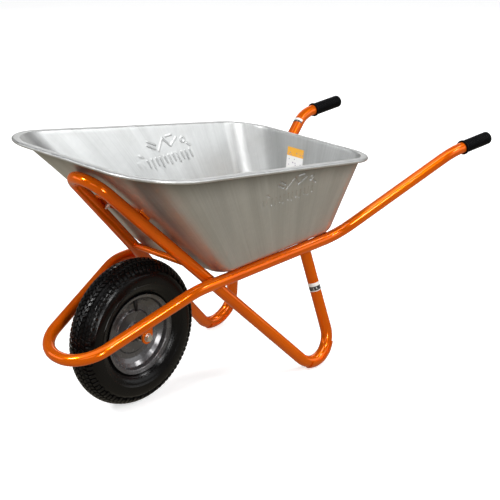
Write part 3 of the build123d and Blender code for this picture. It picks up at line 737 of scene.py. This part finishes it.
half = []
for run in np.linspace(0, crown_run[-1], 60):
    y, r, ny, nr = crown_at(run)
    depth = casing_depth(run)
    half.append((y - ny * depth, r - nr * depth))
side_wall = arc_points(bulge, low_wall, flange_top, 40)
for y, r in side_wall[1:]:
    ridge = 0.0
    for ring, width, lift in SIDE_RINGS:
        ridge += lift * max(0.0, 1 - ((r - ring) / width) ** 2)
    half.append((y + ridge * 0.9, r + ridge * 0.25))
half += [heel, toe]
half += arc_points(toe, inner_low, inner_side, 10)[1:]
half += arc_points(inner_side, inner_shoulder, (0, WHEEL_R - CROWN_T), 16)[1:-1]
outline_half = half + [(0.0, WHEEL_R - CROWN_T)]
profile = outline_half + [(-y, r) for y, r in reversed(outline_half[1:-1])]
AROUND = 252
tyre_verts = [on_wheel(y, r, 2 * math.pi * j / AROUND) for y, r in profile for j in range(AROUND)]
tyre_faces = grid_faces(len(profile), AROUND, wrap_rows=True)


def tread_block(centre_run, half_run, centre_angle, half_angle, skew=0.0):
    """One tread block: a bevelled pad that follows the crown and stands on the casing."""
    start = len(tyre_verts)
    across = np.linspace(-1, 1, 4)
    loops = ((0.80, 0.0), (1.0, 0.0009), (1.1, TREAD_DEPTH + 0.001))
    pads = []
    for scale, sink in loops:
        pad = []
        for u in across:
            run = centre_run + u * half_run * scale
            y, r, ny, nr = crown_at(run)
            for a in np.linspace(-1, 1, 3):
                angle = centre_angle + a * half_angle * scale + skew * (run - centre_run)
                pad.append(on_wheel(y - ny * sink, r - nr * sink, angle))
        pads.append(pad)
    tyre_verts.extend(pads[0])
    border = [0, 1, 2, 5, 8, 11, 10, 9, 6, 3]
    index = [[start + i for i in border]]
    for i in range(3):
        for j in range(2):
            a = start + i * 3 + j
            tyre_faces.append((a, a + 1, a + 4, a + 3))
    for pad in pads[1:]:
        base = len(tyre_verts)
        tyre_verts.extend(pad[i] for i in border)
        index.append(list(range(base, base + len(border))))
    for upper, lower in zip(index, index[1:]):
        for k in range(len(border)):
            n = (k + 1) % len(border)
            tyre_faces.append((upper[n], upper[k], lower[k], lower[n]))
    tyre_faces.append(tuple(index[-1]))


BLOCKS = 84
LONG_LUG, SHORT_LUG = 0.0094, 0.0072
pitch_angle = 2 * math.pi / BLOCKS
for k in range(BLOCKS):
    angle = k * pitch_angle
    lug = LONG_LUG if k % 2 else SHORT_LUG
    # Each row's distance from the middle, half-width, offset and half-length in pitches, and skew
    block_rows = ((0.0052, 0.0041, 0.0, 0.37, 3.0), (0.0158, 0.0046, 0.3, 0.37, -4.0),
                  (0.0264, 0.0042, 0.0, 0.36, 3.0), (0.0330 + lug, lug, 0.4, 0.36, 0.0))
    for side in (-1, 1):
        shift = 0.5 * pitch_angle if side > 0 else 0.0
        for run, half_run, offset, half_length, skew in block_rows:
            tread_block(side * run, half_run, angle + shift + offset * pitch_angle,
                        pitch_angle * half_length, side * skew)
tyre_skin = piece("tyre_skin", tyre_verts, tyre_faces, tyre_rubber, "wheel", 35.0)
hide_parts("tyre")


# --- Grips ------------------------------------------------------------------------------------

# Shallow flutes along the grip: their number, and their depth as a share of the radius
FLUTES, FLUTE_SHARE = 8, 0.012


def grip_piece(name, side, node):
    """A moulded grip: a collar, fine rings to hold on to, and a rounded closed end."""
    tip = from_axle(GRIP_END, side)
    way = (tip - from_axle(HANDLE_BEND, side)).normalized()
    start = tip - way * GRIP_LENGTH
    one = way.orthogonal().normalized()
    other = way.cross(one)
    outer = [(0.0, TUBE_R + GRIP_GAP), (0.0, GRIP_R + COLLAR_RISE - 0.0012),
             (0.0005, GRIP_R + COLLAR_RISE - 0.0004), (0.0013, GRIP_R + COLLAR_RISE),
             (COLLAR_T - 0.0015, GRIP_R + COLLAR_RISE), (COLLAR_T - 0.0006, GRIP_R + COLLAR_RISE - 0.0005),
             (COLLAR_T, GRIP_R + 0.0006), (COLLAR_T + 0.0012, GRIP_R - 0.0004)]
    ring_pitch, groove = 0.0052, 0.0009
    # The rings' part of the grip, clear of the collar and of the rounded end
    first, last = 0.013, GRIP_LENGTH - 0.017
    count = int((last - first) / ring_pitch)
    for k in range(count):
        base = first + k * ring_pitch
        outer += [(base, GRIP_R - groove), (base + 0.0008, GRIP_R - 0.0002), (base + 0.0014, GRIP_R)]
        outer += [(base + 0.0034, GRIP_R), (base + 0.0040, GRIP_R - 0.0002)]
        outer.append((base + 0.0046, GRIP_R - groove))
    outer += [(last + 0.002, GRIP_R - 0.0002), (last + 0.004, GRIP_R)]
    cap = 0.006
    for k in range(9):
        angle = math.radians(90 * k / 8)
        outer.append((GRIP_LENGTH - cap + cap * math.sin(angle), GRIP_R - cap + cap * math.cos(angle)))
    outer += [(GRIP_LENGTH - 0.0006, 0.006), (GRIP_LENGTH - 0.0009, 0.0035), (GRIP_LENGTH - 0.0009, 0.0005)]
    inner = [(GRIP_LENGTH - GRIP_END_T, 0.0005), (GRIP_LENGTH - GRIP_END_T, TUBE_R + GRIP_GAP)]
    loop = outer + inner
    around = 56
    verts = []
    for along, radius in loop:
        ring_centre = start + way * along
        for j in range(around):
            angle = 2 * math.pi * j / around
            flute = 1.0 - FLUTE_SHARE * max(0.0, math.cos(FLUTES * angle)) * (first < along < last)
            reach = radius * (flute if radius > TUBE_R + 0.001 else 1.0)
            verts.append(ring_centre + one * (reach * math.cos(angle)) + other * (reach * math.sin(angle)))
    faces = grid_faces(len(loop), around, wrap_rows=True)
    made = piece(name, verts, faces, grip_rubber, "frame", 50.0)
    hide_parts(node)


grip_piece("grip_left", 1, "left_grip")
grip_piece("grip_right", -1, "right_grip")


# --- Weld beads -------------------------------------------------------------------------------

def side_by_side_weld(p, d, q, e, gap=0.0030, furthest=0.024):
    """The line round the place where two equal tubes touch, at which they are a small gap apart."""
    d, e = d.normalized(), e.normalized()
    w = p - q
    b = d.dot(e)
    s = (b * e.dot(w) - d.dot(w)) / (1 - b * b)
    t = (e.dot(w) - b * d.dot(w)) / (1 - b * b)
    one, other = p + d * s, q + e * t
    normal = (other - one).normalized()
    apart = (other - one).length
    side = normal.orthogonal().normalized()
    up = normal.cross(side)
    line = []
    for k in range(72):
        angle = 2 * math.pi * k / 72
        way = side * math.cos(angle) + up * math.sin(angle)
        reach = 0.001
        while reach < furthest:
            off_one, off_other = reach * way.cross(d).length, reach * way.cross(e).length
            low = math.sqrt(max(TUBE_R**2 - off_one**2, 0))
            high = apart - math.sqrt(max(TUBE_R**2 - off_other**2, 0))
            if high - low > gap:
                break
            reach += 0.0002
        line.append(one + way * reach + normal * ((low + high) / 2))
    return line


def meets_tube(start, d, q, e):
    """The first place where a line from start along d meets the frame tube about the line through q."""
    d, e = d.normalized(), e.normalized()
    w, v = (start - q).cross(e), d.cross(e)
    a, b, c = v.dot(v), 2 * w.dot(v), w.dot(w) - TUBE_R**2
    return start + d * ((-b - math.sqrt(max(b * b - 4 * a * c, 0))) / (2 * a))


def saddle_weld(p, d, radius, q, e):
    """The line where a thin tube that leaves p along d meets the frame tube about the line through q."""
    side = d.orthogonal().normalized()
    up = d.cross(side)
    angles = [2 * math.pi * k / 48 for k in range(48)]
    return [meets_tube(p + (side * math.cos(a) + up * math.sin(a)) * radius, d, q, e) for a in angles]


WELD_STEP, THIN_WELD_STEP = 0.0009, 0.0008
WELD_R, EDGE_WELD_R, CROSSBAR_WELD_R = 0.0023, 0.0018, 0.0017
# The share of a strip's half-width that its bead reaches
WELD_SHARE = 0.46


def edge_weld(name, first, last, d, q, e):
    """A bead along the line where a strip's face, from first to last, runs into the frame tube."""
    line = [meets_tube(first.lerp(last, k / 20), d, q, e) for k in range(21)]
    bead_piece(name, resampled(line, WELD_STEP), EDGE_WELD_R, False)


wall_foot = Vector((AXLE.x + FLOOR_FRONT_X, 0, floor_height(FLOOR_FRONT_X)))
rim_front = Vector((AXLE.x + RIM_FRONT[0], 0, RIM_FRONT[1]))
wall_head = rim_front - rim_level[1] * WALL_INSET + rim_level[2] * ROLL_R
wall_run = (wall_head - wall_foot).normalized()
wall_out = Vector((wall_run.z, 0, -wall_run.x))
strap_face = wall_foot + wall_run * FRONT_STRAP_UP + wall_out * (SEAT_GAP + STRAP_T)

for side, word in ((1, "left"), (-1, "right")):
    rail, rail_way = from_axle(RAIL_REAR, side), from_axle(RAIL_FRONT, side) - from_axle(RAIL_REAR, side)
    foot, arm = from_axle(FOOT_CORNER, side), from_axle(ARM_TOP, side)
    strut = from_axle(STRUT_TOP, side)
    across = Vector((0, side, 0))
    crossing = side_by_side_weld(foot, arm - foot, rail, rail_way)
    bead_piece("weld_arm_" + word, resampled(crossing, WELD_STEP, True), WELD_R, True)
    joint = side_by_side_weld(foot, strut - foot, rail, rail_way, furthest=0.014)
    bead_piece("weld_strut_" + word, resampled(joint, WELD_STEP, True), WELD_R, True)
    bar = arm + (foot - arm) * CROSSBAR_SHARE
    seam = saddle_weld(Vector((bar.x, 0, bar.z)), across, CROSSBAR_R, bar, foot - arm)
    bead_piece("weld_crossbar_" + word, resampled(seam, THIN_WELD_STEP, True), CROSSBAR_WELD_R, True)
    half_strap = wall_run * (WELD_SHARE * STRAP_W)
    edge_weld("weld_strap_" + word, strap_face - half_strap, strap_face + half_strap,
              across, arm, foot - arm)
    nose, rail_end = from_axle(NOSE_CORNER, side), from_axle(RAIL_FRONT, side)
    share = (nose.x - AXLE.x) / (nose.x - rail_end.x)
    over_axle = nose.lerp(rail_end, share)
    bend = Vector((AXLE.x, side * BRACKET_Y, BRACKET_BEND_Z))
    inside_tube = over_axle + Vector((0, -side * BRACKET_REACH, -0.7 * BRACKET_REACH))
    strip_way = (inside_tube - bend).normalized()
    strip_out = Vector((0, side * strip_way.z, -side * strip_way.y))
    for face, facing in ((1, "out"), (-1, "in")):
        middle_line = bend + strip_out * (face * BRACKET_T / 2)
        half_width = Vector((WELD_SHARE * BRACKET_W, 0, 0))
        edge_weld("weld_bracket_" + facing + "_" + word, middle_line - half_width, middle_line + half_width,
                  strip_way, over_axle, rail_end - nose)


# --- Materials of the CAD pieces that stay ----------------------------------------------------

def finish_node(node, material):
    nodes[node].data.materials.clear()
    nodes[node].data.materials.append(material)


for node in ("front_crossbar", "front_strap", "rear_strap", "left_axle_bracket", "right_axle_bracket",
             "left_foot_shoe", "right_foot_shoe"):
    finish_node(node, orange)
for node in ("tray_bolts", "tray_washers", "tray_nuts", "axle_bolt", "axle_nut", "axle_washers",
             "left_spacer", "right_spacer"):
    finish_node(node, zinc)
for node in ("left_bearing", "right_bearing"):
    finish_node(node, bearing_steel)
for node in ("left_rim_half", "right_rim_half", "hub"):
    finish_node(node, rim_grey)
finish_node("inner_tube", butyl)
finish_node("valve_stem", butyl)
finish_node("valve_cap", cap_plastic)

# The labels: plain bands and blocks, with no lettering
low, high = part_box("tray_label")
finish_node("tray_label", label_material(
    "tray_label_print", low.z, high.z, (0, 0, 1),
    [(0.0, (0.80, 0.79, 0.78)), (0.77, (0.83, 0.40, 0.03))], (0.52, 0.88, 120.0), (0.30, 0.25, 0.33)))
strut_way = (from_axle(STRUT_TOP) - from_axle(FOOT_CORNER)).normalized()
places = [strut_way.dot(v.co) for v in nodes["leg_label"].data.vertices]
finish_node("leg_label", label_material(
    "leg_label_print", min(places), max(places), tuple(strut_way),
    [(0.0, (0.75, 0.74, 0.72)), (0.08, (0.012, 0.012, 0.014)), (0.58, (0.80, 0.79, 0.77))],
    (0.12, 0.50, 170.0), (0.66, 0.66, 0.64)))
handle_way = (from_axle(RAIL_REAR, -1) - from_axle(HANDLE_BEND, -1)).normalized()
places = [handle_way.dot(v.co) for v in nodes["handle_label"].data.vertices]
finish_node("handle_label", label_material(
    "handle_label_print", min(places), max(places), tuple(handle_way),
    [(0.0, (0.70, 0.70, 0.69)), (0.55, (0.05, 0.045, 0.045))], (0.58, 0.95, 190.0), (0.50, 0.50, 0.50)))


# --- Stage, lights and camera -----------------------------------------------------------------

bpy.ops.mesh.primitive_plane_add(size=120.0, location=(0, 0, -0.0006))
floor = bpy.context.active_object
floor.name = "studio_floor"
floor.data.materials.append(floor_material())
# The floor glows and is left out of reflections and bounced light, to be white without lighting the barrow
floor.visible_glossy = False
floor.visible_diffuse = False


def soft_light(name, place, target, size, watts, tint=(1, 1, 1)):
    """A rectangular softbox that looks at a target."""
    data = bpy.data.lights.new(name, "AREA")
    data.shape = "RECTANGLE"
    data.size, data.size_y = size
    data.energy = watts
    data.color = tint
    made = bpy.data.objects.new(name, data)
    made.location = place
    made.rotation_mode = "QUATERNION"
    made.rotation_quaternion = (Vector(target) - Vector(place)).to_track_quat("-Z", "Y")
    made.visible_camera = False
    bpy.context.scene.collection.objects.link(made)


def sky_light(name, direction, strength, spread):
    """A broad even light from far away, so that the floor is as bright near as far."""
    data = bpy.data.lights.new(name, "SUN")
    data.energy = strength
    data.angle = math.radians(spread)
    made = bpy.data.objects.new(name, data)
    made.rotation_mode = "QUATERNION"
    made.rotation_quaternion = Vector(direction).to_track_quat("-Z", "Y")
    bpy.context.scene.collection.objects.link(made)


middle_of_barrow = (cad_box[0] + cad_box[1]) / 2
sky_light("sky", (-0.25, 0.10, -1.0), 0.95, 60)
soft_light("strip", (-0.7, 1.0, 2.75), (-0.7, 0.0, 0.35), (3.8, 0.30), 40)
soft_light("handle_box", (1.06, 3.9, 2.95), (-0.6, 0.25, 0.5), (0.8, 1.0), 56)
soft_light("nose_box", (2.1, 3.9, 0.95), (0.45, 0.1, 0.45), (0.8, 1.1), 56)
soft_light("window", (-1.6, 2.5, 2.5), (0.4, 0.0, 0.2), (0.8, 0.45), 24)
soft_light("key", (2.7, -0.9, 2.4), (0.45, 0.0, 0.2), (0.6, 0.8), 60)
soft_light("left_panel", (-2.7, 3.0, 1.5), middle_of_barrow, (3.6, 2.0), 32, (0.95, 0.98, 1.0))
soft_light("right_panel", (3.1, -2.7, 1.3), middle_of_barrow, (2.4, 1.4), 17, (0.96, 0.98, 1.0))
soft_light("back_panel", (-3.0, -3.0, 1.9), middle_of_barrow, (3.0, 1.2), 24)
soft_light("front_panel", (4.3, 2.0, 2.4), middle_of_barrow, (2.8, 1.4), 15)

# The surroundings: cool and dim above, and a warm light from below in place of the floor's bounce
world = bpy.data.worlds.new("studio")
world.use_nodes = True
tree = world.node_tree
background = tree.nodes["Background"]
where = tree.nodes.new("ShaderNodeTexCoord")
parts = tree.nodes.new("ShaderNodeSeparateXYZ")
height = tree.nodes.new("ShaderNodeMapRange")
height.inputs["From Min"].default_value = -0.6
height.inputs["From Max"].default_value = 0.5
shades = tree.nodes.new("ShaderNodeValToRGB")
shades.color_ramp.elements[0].color = (0.42, 0.38, 0.30, 1)
shades.color_ramp.elements[1].color = (0.10, 0.105, 0.115, 1)
tree.links.new(where.outputs["Generated"], parts.inputs["Vector"])
tree.links.new(parts.outputs["Z"], height.inputs["Value"])
tree.links.new(height.outputs["Result"], shades.inputs["Fac"])
tree.links.new(shades.outputs["Color"], background.inputs["Color"])
bpy.context.scene.world = world
bpy.context.scene.view_settings.view_transform = "Standard"

CAMERA_PLACE = Vector((2.9777, 2.8854, 1.8579))
CAMERA_WAY = Vector((-0.67351, -0.65134, -0.34948))
CAMERA_LENS, CAMERA_SENSOR, CAMERA_ROLL = 113.55, 36.0, 0.245
camera_data = bpy.data.cameras.new("camera")
camera_data.lens = CAMERA_LENS
camera_data.sensor_width = CAMERA_SENSOR
camera = bpy.data.objects.new("camera", camera_data)
camera.location = CAMERA_PLACE
camera.rotation_mode = "QUATERNION"
right = CAMERA_WAY.cross(Vector((0, 0, 1))).normalized()
up = right.cross(CAMERA_WAY).normalized()
roll = math.radians(CAMERA_ROLL)
rolled_up = up * math.cos(roll) - right * math.sin(roll)
rolled_right = CAMERA_WAY.cross(rolled_up).normalized()
turn = np.array([tuple(rolled_right), tuple(rolled_up), tuple(-CAMERA_WAY.normalized())]).T
camera.rotation_quaternion = Matrix(turn.tolist()).to_quaternion()
bpy.context.scene.collection.objects.link(camera)
bpy.context.scene.camera = camera
